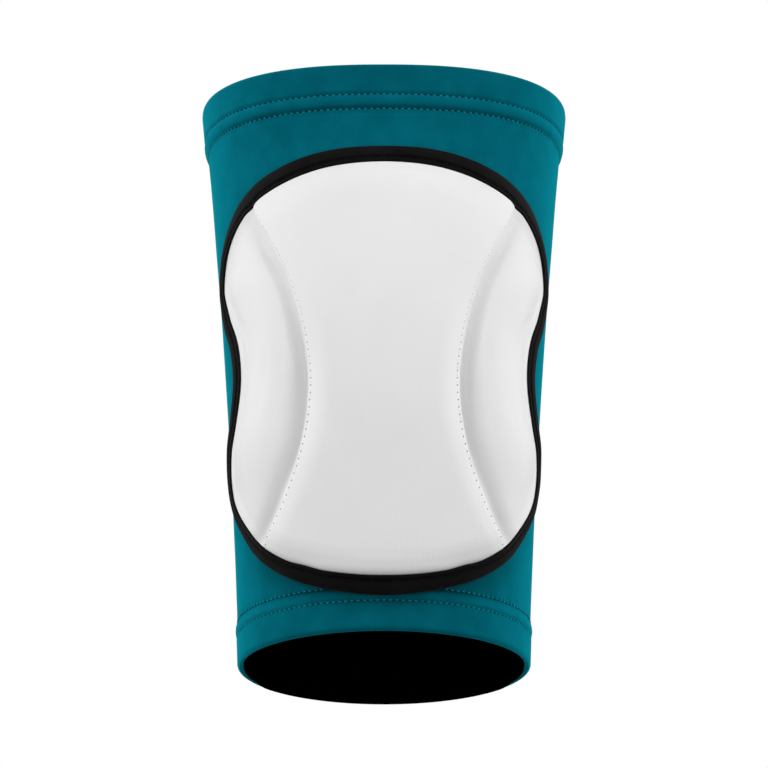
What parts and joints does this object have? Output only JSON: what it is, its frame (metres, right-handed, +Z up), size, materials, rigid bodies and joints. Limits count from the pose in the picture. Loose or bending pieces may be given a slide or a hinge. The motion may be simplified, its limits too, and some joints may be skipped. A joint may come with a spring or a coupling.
{
  "type": "volleyball knee pad",
  "caption": "Stretch knee sleeve with folded hems, a dark lining and a wide foam pad in front, parted by curved seams and edged with binding tape.",
  "frame": {"origin": "the knee's centre on the leg's axis, where the pad seats on a worn leg", "axes": "+Z up the thigh, -Y out through the padded front, X across the knee"},
  "size_m": [0.1352, 0.1442, 0.2113],
  "materials": {
    "sleeve_fabric": "matt teal stretch jersey",
    "lining_fabric": "matt black jersey",
    "pad_fabric": "smooth white jersey over foam",
    "binding_tape": "matt black woven tape"
  },
  "bodies": {
    "root": {"sleeve": "sleeve_fabric", "top_hem": "sleeve_fabric", "bottom_hem": "sleeve_fabric", "lining": "lining_fabric", "pad_center": "pad_fabric", "pad_side_left": "pad_fabric", "pad_side_right": "pad_fabric", "binding": "binding_tape"}
  },
  "joints": []
}
